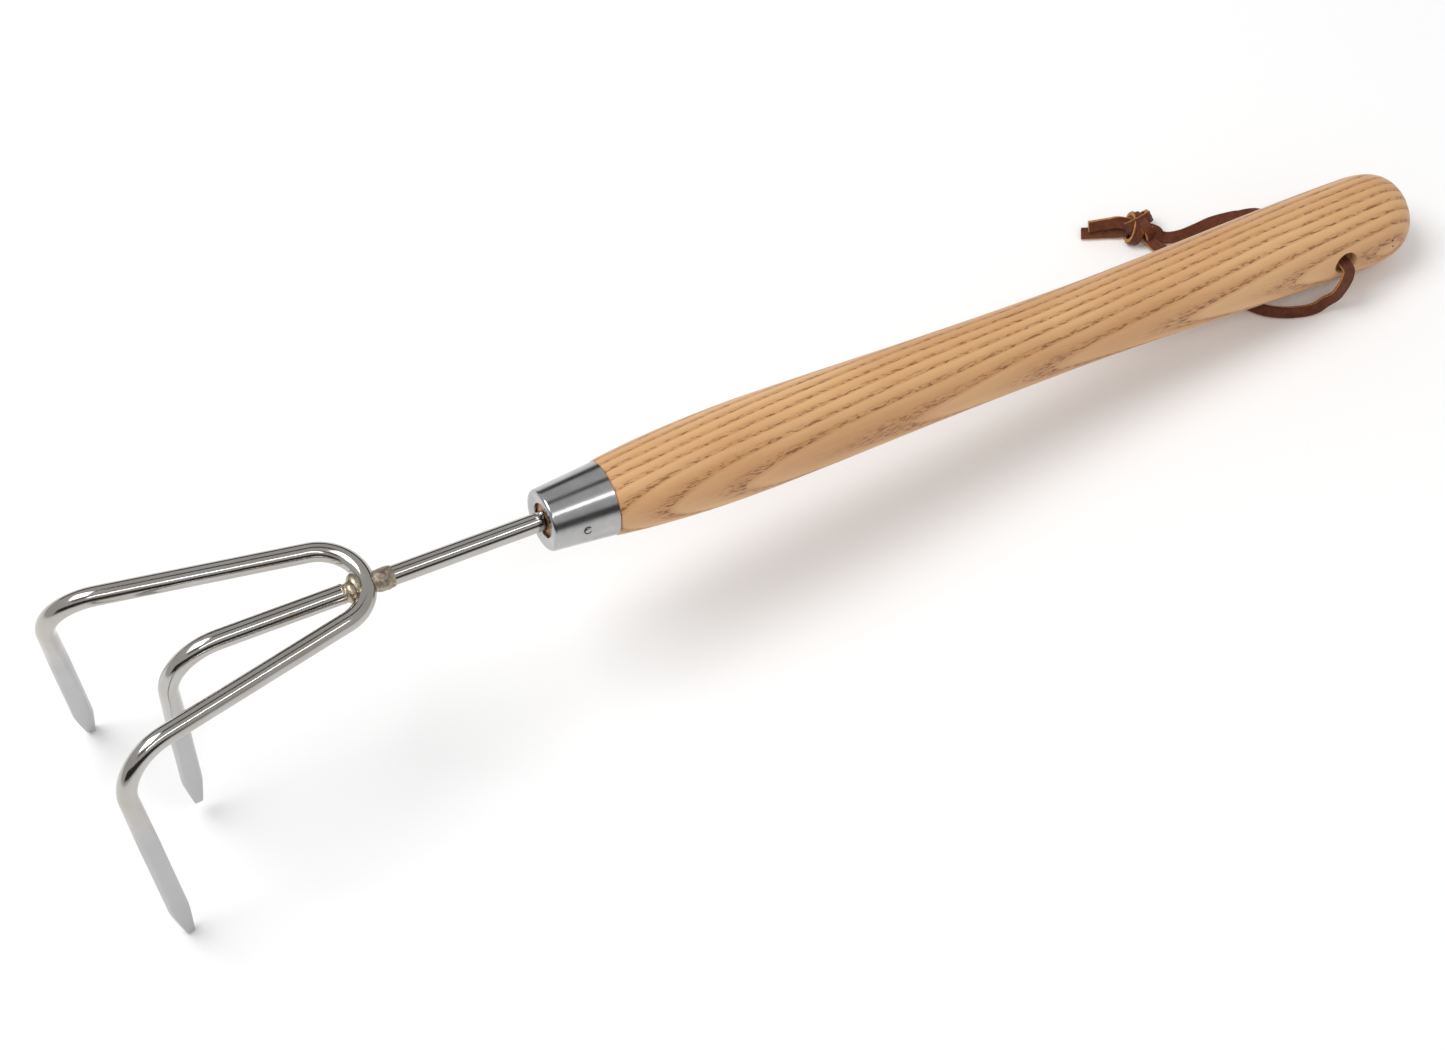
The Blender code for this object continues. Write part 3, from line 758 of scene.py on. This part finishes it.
class CULTIVATOR_OT_welds(bpy.types.Operator):
    """Builds the dull weld band of the shank and the shiny bead of the centre tine"""

    bl_idname = "cultivator.welds"
    bl_label = "Build welds"

    def execute(self, context):
        s = context.scene.cultivator_steel
        place = tool_matrix()
        face = bow_face_x(s, 1)
        back = face + s.shank_weld_length + WELD_LAP
        front = face - s.rod_radius * 0.5
        outline = [(back, 0.0)]
        for i in range(25):
            share = i / 24
            swell = math.sin(math.pi * min(1.0, share * 1.12 + 0.04)) ** 0.5
            outline.append((back + (front - back) * share, s.rod_radius + WELD_SWELL * swell))
        outline.append((front, 0.0))
        mesh = turned("shank_weld_band", outline, False, 72,
                      lambda x, a: lumpy(x, a, WELD_LUMPS, 700))
        shade_round(mesh, 60)
        dull = weld_metal("dull_weld_finish", (0.27, 0.23, 0.19), (0.13, 0.10, 0.08), 420, 0.24)
        add_piece(mesh, (dull,), place, "shank_weld")
        bright = weld_metal("bright_weld_finish", (0.50, 0.43, 0.34), (0.32, 0.24, 0.17), 300,
                            0.06)
        add_piece(self.bead_mesh(s), (bright,), place, "centre_tine_weld")
        return {"FINISHED"}

    def bead_mesh(self, s):
        """Two melted lobes side by side, over the end of the centre tine."""
        face = bow_face_x(s, -1)
        lobes = (
            ((face - 0.0002, 0.0012, 0.0005), (0.0022, 0.0038, 0.0034)),
            ((face - 0.0024, -0.0008, 0.0006), (0.0021, 0.0034, 0.0034)),
            ((face - 0.0046, 0.0, 0.0), (0.0018, 0.0032, 0.0032)),
        )
        shape = bmesh.new()
        for centre, size in lobes:
            add_ball(shape, centre, size, 4)
        mesh = bpy.data.meshes.new("centre_weld_bead")
        shape.to_mesh(mesh)
        shape.free()
        helper = linked("bead_helper", mesh)
        remesh = helper.modifiers.new("melt", "REMESH")
        remesh.mode = "VOXEL"
        remesh.voxel_size = 0.00022
        smooth = helper.modifiers.new("smooth", "SMOOTH")
        smooth.factor = 0.6
        smooth.iterations = 6
        graph = bpy.context.evaluated_depsgraph_get()
        melted = bpy.data.meshes.new_from_object(helper.evaluated_get(graph))
        melted.name = mesh.name
        bpy.data.objects.remove(helper, do_unlink=True)
        melted.shade_smooth()
        return melted


def ferrule_radius(s, x):
    return s.ferrule_front + (s.ferrule_back - s.ferrule_front) * x / s.ferrule_length


def eased(first, second, share):
    return first + (second - first) * (1 - math.cos(math.pi * share)) / 2


def wood_radius(s, x):
    """Radius of the bare wood at x behind the ferrule, from the shoulder to the flare."""
    flare_at = s.wood_length - DOME_LENGTH
    if x <= BELLY_AT:
        return s.shoulder + (s.belly - s.shoulder) * (1 - (1 - x / BELLY_AT) ** 2.2)
    if x <= WAIST_AT:
        share = ((x - BELLY_AT) / (WAIST_AT - BELLY_AT)) ** 0.75
        return eased(s.belly, s.waist, share)
    if x <= flare_at:
        share = (x - WAIST_AT) / (flare_at - WAIST_AT)
        return eased(s.waist, s.flare, share)
    share = min(1.0, (x - flare_at) / DOME_LENGTH)
    return s.flare * (1 - share**3) ** (1 / 3)


def cross_rings(along_handle, roll, profile, steps):
    """Rings about a line across the handle, from (place along the line, radius) pairs."""
    centre = Vector((along_handle, 0, 0))
    direction = Vector((0, -math.cos(roll), math.sin(roll)))
    side = Vector((1, 0, 0))
    other = direction.cross(side)
    turns = [2 * math.pi * k / steps for k in range(steps)]
    return [
        [centre + direction * along + (side * math.cos(t) + other * math.sin(t)) * radius
         for t in turns]
        for along, radius in profile
    ]


class CULTIVATOR_OT_ferrule(bpy.types.Operator):
    """Builds the steel ferrule with its rolled front edge and cross pin"""

    bl_idname = "cultivator.ferrule"
    bl_label = "Build ferrule and pin"

    def execute(self, context):
        s = context.scene.cultivator_handle
        place = tool_matrix()
        finish = satin_steel(context.scene.cultivator_colours)
        outline = [(s.ferrule_length, s.ferrule_back - BACK_CHAMFER),
                   (s.ferrule_length - BACK_CHAMFER, s.ferrule_back)]
        runs = 20
        outline += [(x, ferrule_radius(s, x)) for x in
                    [s.ferrule_length * (1 - i / runs) for i in range(1, runs - 1)]]
        low = ferrule_radius(s, FRONT_ROUND) - FRONT_ROUND
        for i in range(13):
            turn = math.radians(90 - 7.5 * i)
            outline.append((FRONT_ROUND - FRONT_ROUND * math.cos(turn),
                            low + FRONT_ROUND * math.sin(turn)))
        outline += [
            (0.0002, s.ferrule_front - 0.0018),
            (0.0003, s.ferrule_mouth + 0.0008),
            (0.0006, s.ferrule_mouth + 0.0001),
            (s.ferrule_wall, s.ferrule_mouth),
            (s.ferrule_wall, ferrule_radius(s, s.ferrule_wall) - s.ferrule_wall),
            (s.ferrule_length, s.ferrule_back - s.ferrule_wall),
        ]
        mesh = turned("turned_ferrule", outline, True, 128)
        shade_round(mesh, 40)
        check_box(add_piece(mesh, (finish,), place, "ferrule"), "ferrule")
        self.add_pin(s, place, finish)
        return {"FINISHED"}

    def add_pin(self, s, place, finish):
        """Cross pin with peened, slightly domed heads that sit in the ferrule's wall."""
        half = ferrule_radius(s, s.pin_place) + HEAD_HEIGHT
        profile = [(-half, 0.12), (-half + 0.00006, 0.55), (-half + 0.0002, 0.86),
                   (-half + 0.0005, 1.0)]
        profile += [(-along, share) for along, share in profile[::-1]]
        self.add_seats(s, place)
        profile = [(along, s.pin_radius * share) for along, share in profile]
        mesh = swept("peened_pin", cross_rings(s.pin_place, s.pin_roll, profile, 40))
        shade_round(mesh, 50)
        add_piece(mesh, (finish,), place, "ferrule_pin")

    def add_seats(self, s, place):
        """Dark line where each end of the pin meets the ferrule."""
        g = Graph("pin_seat_shadow")
        g.set(Base_Color=(0.06, 0.055, 0.05, 1), Roughness=0.6, Metallic=0.6)
        g.bump(g.noise(g.place(), 3000, 3), 0.4, 0.0001)
        reach = ferrule_radius(s, s.pin_place)
        radius = s.pin_radius * SEAT_WIDTH
        for name, end in (("pin_seat_near", 1), ("pin_seat_far", -1)):
            profile = [((reach + step) * end, radius) for step in (-SEAT_DEPTH, 0.00006)]
            mesh = swept(name, cross_rings(s.pin_place, s.pin_roll, profile, 40))
            add_piece(mesh, (g.material,), place, None)


class CULTIVATOR_OT_handle(bpy.types.Operator):
    """Builds the turned ash handle with its hanging hole"""

    bl_idname = "cultivator.handle"
    bl_label = "Build handle"

    def execute(self, context):
        s = context.scene.cultivator_handle
        flare_at = s.wood_length - DOME_LENGTH
        nose = s.ferrule_wall + NOSE_GAP
        places = [flare_at + DOME_LENGTH * math.sin(math.pi / 2 * i / 40)
                  for i in range(39, -1, -1)]
        places += [flare_at * (1 - i / 120) for i in range(1, 121)]
        outline = [(s.ferrule_length + s.wood_length, 0.0)]
        outline += [(s.ferrule_length + x, wood_radius(s, x)) for x in places]
        outline[-1] = (s.ferrule_length + 0.0005, s.shoulder)
        outline += [
            (s.ferrule_length + 0.0001, s.shoulder - 0.0005),
            (s.ferrule_length, s.ferrule_back - s.ferrule_wall),
            (nose, s.ferrule_front - s.ferrule_wall),
            (nose, 0.0),
        ]
        mesh = turned("turned_handle", outline, False, 160)
        piece = linked("handle_helper", mesh)
        cutter = self.hole_cutter(s)
        modifier = piece.modifiers.new("hole", "BOOLEAN")
        modifier.solver = "EXACT"
        modifier.object = cutter
        graph = context.evaluated_depsgraph_get()
        drilled = bpy.data.meshes.new_from_object(piece.evaluated_get(graph))
        drilled.name = "turned_handle"
        for helper in (piece, cutter):
            bpy.data.objects.remove(helper, do_unlink=True)
        drilled.materials.clear()
        shade_round(drilled, 30)
        ash = ash_wood(context.scene.cultivator_colours)
        check_box(add_piece(drilled, (ash,), tool_matrix(), "handle"), "handle")
        self.add_small_holes()
        return {"FINISHED"}

    def add_small_holes(self):
        """Two tiny dark balls in the dome of the butt, painted shade that stands in for two tiny
        holes.
        """
        g = Graph("painted_hole_shade_finish")
        # Painted shade: this near-black brown stands for the shade inside each tiny hole, which is
        # not cut into the wood.
        g.set(Base_Color=(0.05, 0.028, 0.015, 1), Roughness=0.9)
        g.bump(g.noise(g.place(), 4000, 3), 0.5, 0.0001)
        for number, spot in enumerate(WOOD_HOLES):
            shape = bmesh.new()
            add_ball(shape, spot, HOLE_SIZE, 3)
            mesh = mesh_from(f"wood_hole_{number + 1}", shape)
            mesh.shade_smooth()
            add_piece(mesh, (g.material,), tool_matrix(), None)

    def hole_cutter(self, s):
        """Drilled hole that opens out smoothly at both mouths."""
        hole_x = s.ferrule_length + s.wood_length - s.hole_from_end
        surface = wood_radius(s, s.wood_length - s.hole_from_end)
        profile = []
        for i in range(9):
            share = i / 8
            along = surface + CUTTER_CLEAR - (MOUTH_DEPTH + CUTTER_CLEAR) * share
            profile.append((along, s.hole_radius + MOUTH_DEPTH * 1.1 * (1 - share) ** 2))
        profile += [(-along, radius) for along, radius in profile[::-1]]
        mesh = swept("hole_cutter", cross_rings(hole_x, s.hole_roll, profile, 64))
        return linked(mesh.name, mesh)


def strip_section(width, thickness):
    """(across, up, is edge) points of a flat strip with softened corners."""
    half, high = width / 2, thickness / 2
    soft = thickness * 0.22
    points = []
    for sign, wave in ((1, 2.1), (-1, 1.7)):
        for i in range(7):
            across = -half + soft + (width - 2 * soft) * i / 6
            points.append((sign * across, sign * (high + 0.00006 * math.cos(i * wave)), False))
        edge = ((half - soft * 0.25, high - soft * 0.3), (half, high - soft),
                (half, -high + soft), (half - soft * 0.25, -high + soft * 0.3))
        points += [(sign * across, sign * up, True) for across, up in edge]
    return points


def strip_mesh(name, path, ups, section):
    """Flat strip along a path; ups gives the direction its face looks in at each place."""
    along = tangents(path)
    shape = bmesh.new()
    rings = []
    for place, forward, up in zip(path, along, ups):
        up = (up - forward * up.dot(forward)).normalized()
        side = forward.cross(up)
        rings.append([shape.verts.new(place + side * a + up * b) for a, b, _ in section])
    join_rings(shape, rings)
    edges = [section[j][2] and section[(j + 1) % len(section)][2] for j in range(len(section))]
    count = len(section)
    shape.faces.ensure_lookup_table()
    for i, face in enumerate(shape.faces):
        face.material_index = int(edges[i % count])
    for ring in (rings[0][::-1], rings[-1]):
        shape.faces.new(ring).material_index = 1
    mesh = mesh_from(name, shape)
    shade_round(mesh, 40)
    return mesh


def blended_ups(path, keys):
    """Face directions between (share of the path, direction) keys."""
    lengths = [0.0]
    for p, q in zip(path, path[1:]):
        lengths.append(lengths[-1] + (q - p).length)
    ups = []
    for distance in lengths:
        share = distance / lengths[-1]
        for (a, first), (b, second) in zip(keys, keys[1:]):
            if share <= b:
                step = (share - a) / (b - a)
                ups.append(Vector(first).lerp(Vector(second), step).normalized())
                break
        else:
            ups.append(Vector(keys[-1][1]).normalized())
    return ups


def route_length(route):
    path = smooth_route(route, 0.0005)
    return sum((q - p).length for p, q in zip(path, path[1:]))


class CULTIVATOR_OT_lace(bpy.types.Operator):
    """Builds the leather lace: two legs, the knot and two cut tails"""

    bl_idname = "cultivator.lace"
    bl_label = "Build lace"

    def execute(self, context):
        s = context.scene.cultivator_lace
        colours = context.scene.cultivator_colours
        self.finishes = (leather_face(colours), leather_edge(colours))
        self.section = strip_section(s.width, s.thickness)
        heart = tuple(KNOT_CENTRE)
        near_keys = [(0.0, (0, 0.05, 1)), (0.12, (0, -0.3, 1)), (0.22, (-0.2, -1, 0.6)),
                     (0.42, (-0.3, -0.9, 0.6)), (0.55, (-0.2, -0.7, 0.75)), (0.7, (0, 0, 1)),
                     (1.0, (-0.2, -0.4, 1))]
        far_keys = [(0.0, (0, 0.05, 1)), (0.2, (0, 0.3, 1)), (0.38, (0.1, 1, 0.4)),
                    (0.55, (0.0, -0.2, 1)), (0.75, (-0.2, -0.6, 0.8)), (1.0, (-0.2, -0.5, 1))]
        tail_keys = [(0.0, (-0.2, -0.5, 1)), (1.0, (-0.2, -0.7, 0.9))]
        edge_keys = [(0.0, (0, -0.6, 0.6)), (1.0, (-0.1, -1.2, 0.55))]
        near, near_path = self.strip("lace_near_strip", (*NEAR_ROUTE, heart), near_keys,
                                     "lace_near_leg", s)
        far, far_path = self.strip("lace_far_strip", (*FAR_ROUTE, heart), far_keys,
                                   "lace_far_leg", s)
        long_tail, _ = self.strip("lace_long_strip", (heart, *LONG_TAIL_ROUTE), tail_keys,
                                  "lace_long_tail", s)
        short_tail, _ = self.strip("lace_short_strip", (heart, *SHORT_TAIL_ROUTE), edge_keys,
                                   "lace_short_tail", s)
        knot = self.knot(s)
        tied = (*knot, long_tail, short_tail)
        self.declare(near, near_path, NEAR_ROUTE, s, tied)
        self.declare(far, far_path, FAR_ROUTE, s, tied)
        return {"FINISHED"}

    def declare(self, piece, path, route, s, tied):
        route_length((*route, KNOT_CENTRE))

    def strip(self, name, route, keys, node, size):
        """One strip along a route, let down until its lower edge rests on the floor."""
        path = smooth_route(route, STRIP_STEP)
        ups = blended_ups(path, keys)
        settled = []
        for place, up, forward in zip(path, ups, tangents(path)):
            up = (up - forward * up.dot(forward)).normalized()
            side = forward.cross(up)
            half = size.width / 2 * abs(side.z) + size.thickness / 2 * abs(up.z)
            on_floor = min(1.0, max(0.0, 1 - (place.z - LACE_FLOOR) / 0.0025))
            gap = half + FLOOR_GAP - place.z
            settled.append(place + Vector((0, 0, max(gap * on_floor, gap))))
        return self.add(strip_mesh(name, settled, ups, self.section), node), settled

    def add(self, mesh, node=None):
        """Adds a piece of the lace, kept inside the frame's own box on its far side."""
        for vertex in mesh.vertices:
            vertex.co.y = min(vertex.co.y, CAD_BOX[1][1])
        return add_piece(mesh, self.finishes, Matrix.Identity(4), node)

    def knot(self, s):
        """Pulled knot: a core with two strips wound over it, one across the other."""
        lead = Vector((-0.76, 0.65, 0)).normalized()
        near = Vector((-0.22, -0.49, 0.85))
        below = Vector((-0.43, -0.73, -0.53))
        core = bmesh.new()
        add_ball(core, KNOT_CENTRE, KNOT_SIZE, 3)
        mesh = mesh_from("lace_knot_core", core)
        mesh.shade_smooth()
        pieces = [self.add(mesh, "lace_knot")]
        windings = (
            (lead * 0.90 + near * 0.42, lead * 0.0012 + below * 0.0010, 0.0051, 0.0045),
            (lead * 0.50 - below * 0.80 + near * 0.2, -below * 0.0014, 0.0046, 0.0040),
            (lead * 0.75 + below * 0.62 + near * 0.2, -lead * 0.0016, 0.0048, 0.0040),
        )
        section = strip_section(s.width * 0.95, s.thickness)
        for number, (axis, offset, wide, high) in enumerate(windings):
            centre = KNOT_CENTRE + offset
            axis = axis.normalized()
            side = axis.cross(Vector((0, 0, 1))).normalized()
            top = side.cross(axis)
            path = []
            for i in range(64):
                turn = 2 * math.pi * i / 62 + 2.4 * number + 3.9
                path.append(centre + side * wide * math.cos(turn) + top * high * math.sin(turn)
                            + axis * 0.0006 * (i / 62 - 0.5))
            ups = [(p - centre).normalized() for p in path]
            mesh = strip_mesh(f"lace_knot_winding_{number + 1}", path, ups, section)
            for vertex in mesh.vertices:
                vertex.co.z = max(vertex.co.z, FLOOR_GAP)
            pieces.append(self.add(mesh))
        return pieces


class CULTIVATOR_OT_stage(bpy.types.Operator):
    """Builds the pale floor, the soft studio light and the camera"""

    bl_idname = "cultivator.stage"
    bl_label = "Build stage"

    def execute(self, context):
        self.sheet("studio_floor", FLOOR_SIDE, FLOOR_SIDE, floor_finish())
        world = bpy.data.worlds.new("studio_air")
        world.use_nodes = True
        air = world.node_tree.nodes["Background"]
        air.inputs["Color"].default_value = (1.0, 1.0, 1.0, 1)
        air.inputs["Strength"].default_value = AIR_STRENGTH
        context.scene.world = world
        context.scene.view_settings.view_transform = "Standard"
        for softbox in SOFTBOXES:
            self.lamp(*softbox)
        for card in DARK_CARDS:
            self.flag(*card)
        camera = bpy.data.cameras.new("studio_camera")
        camera.sensor_width = 36
        camera.lens = CAMERA_LENS
        camera.clip_start = 0.05
        camera.clip_end = 50
        eye = linked("studio_camera", camera)
        turn = Matrix((CAMERA_RIGHT, -CAMERA_DOWN, -CAMERA_FORWARD)).transposed().to_4x4()
        eye.matrix_world = Matrix.Translation(CAMERA_PLACE) @ turn
        context.scene.camera = eye
        return {"FINISHED"}

    def sheet(self, name, wide, high, finish):
        """Flat rectangle that belongs to the stage and not to the tool."""
        shape = bmesh.new()
        bmesh.ops.create_grid(shape, x_segments=1, y_segments=1, size=0.5)
        bmesh.ops.scale(shape, vec=(wide, high, 1), verts=shape.verts)
        mesh = mesh_from(name, shape)
        mesh.materials.append(finish)
        sheet = linked(name, mesh)
        return sheet

    def flag(self, name, place, wide, high):
        """Dark card that only mirror-like pieces see, for the dark lines along polished steel."""
        g = Graph(name + "_cloth")
        g.set(Base_Color=(0.035, 0.031, 0.028, 1), Roughness=0.9)
        card = self.sheet(name, wide, high, g.material)
        card.location = place
        card.rotation_euler = (-Vector(place)).to_track_quat("Z", "Y").to_euler()
        for sight in ("visible_camera", "visible_diffuse", "visible_shadow"):
            setattr(card, sight, False)

    def lamp(self, name, place, wide, high, power):
        light = bpy.data.lights.new(name, "AREA")
        light.shape = "RECTANGLE"
        light.size = wide
        light.size_y = high
        light.energy = power
        lamp = linked(name, light)
        lamp.location = place
        lamp.rotation_euler = (-Vector(place)).to_track_quat("-Z", "Y").to_euler()


class CULTIVATOR_PT_panel(bpy.types.Panel):
    """Sizes, colours and build buttons"""

    bl_idname = "CULTIVATOR_PT_panel"
    bl_label = "Hand Cultivator"
    bl_space_type = "VIEW_3D"
    bl_region_type = "UI"
    bl_category = "Cultivator"

    def draw(self, context):
        for name in SETTINGS:
            box = self.layout.box()
            group = getattr(context.scene, name)
            for field in group.bl_rna.properties:
                if field.identifier not in ("rna_type", "name"):
                    box.prop(group, field.identifier)
        for operator in OPERATORS:
            self.layout.operator(operator.bl_idname)


SETTINGS = {
    "cultivator_steel": CultivatorSteelSizes,
    "cultivator_handle": CultivatorHandleSizes,
    "cultivator_lace": CultivatorLaceSizes,
    "cultivator_colours": CultivatorColours,
}
OPERATORS = (
    CULTIVATOR_OT_stage,
    CULTIVATOR_OT_lace,
    CULTIVATOR_OT_tines,
    CULTIVATOR_OT_welds,
    CULTIVATOR_OT_ferrule,
    CULTIVATOR_OT_handle,
)


def register():
    for cls in (*SETTINGS.values(), *OPERATORS, CULTIVATOR_PT_panel):
        bpy.utils.register_class(cls)
    for name, group in SETTINGS.items():
        setattr(bpy.types.Scene, name, PointerProperty(type=group))


def unregister():
    for name in SETTINGS:
        delattr(bpy.types.Scene, name)
    for cls in reversed((*SETTINGS.values(), *OPERATORS, CULTIVATOR_PT_panel)):
        bpy.utils.unregister_class(cls)


def main():
    register()
    bpy.ops.cultivator.stage()
    bpy.ops.cultivator.lace()
    bpy.ops.cultivator.tines()
    bpy.ops.cultivator.welds()
    bpy.ops.cultivator.ferrule()
    bpy.ops.cultivator.handle()


if __name__ == "__main__":
    main()
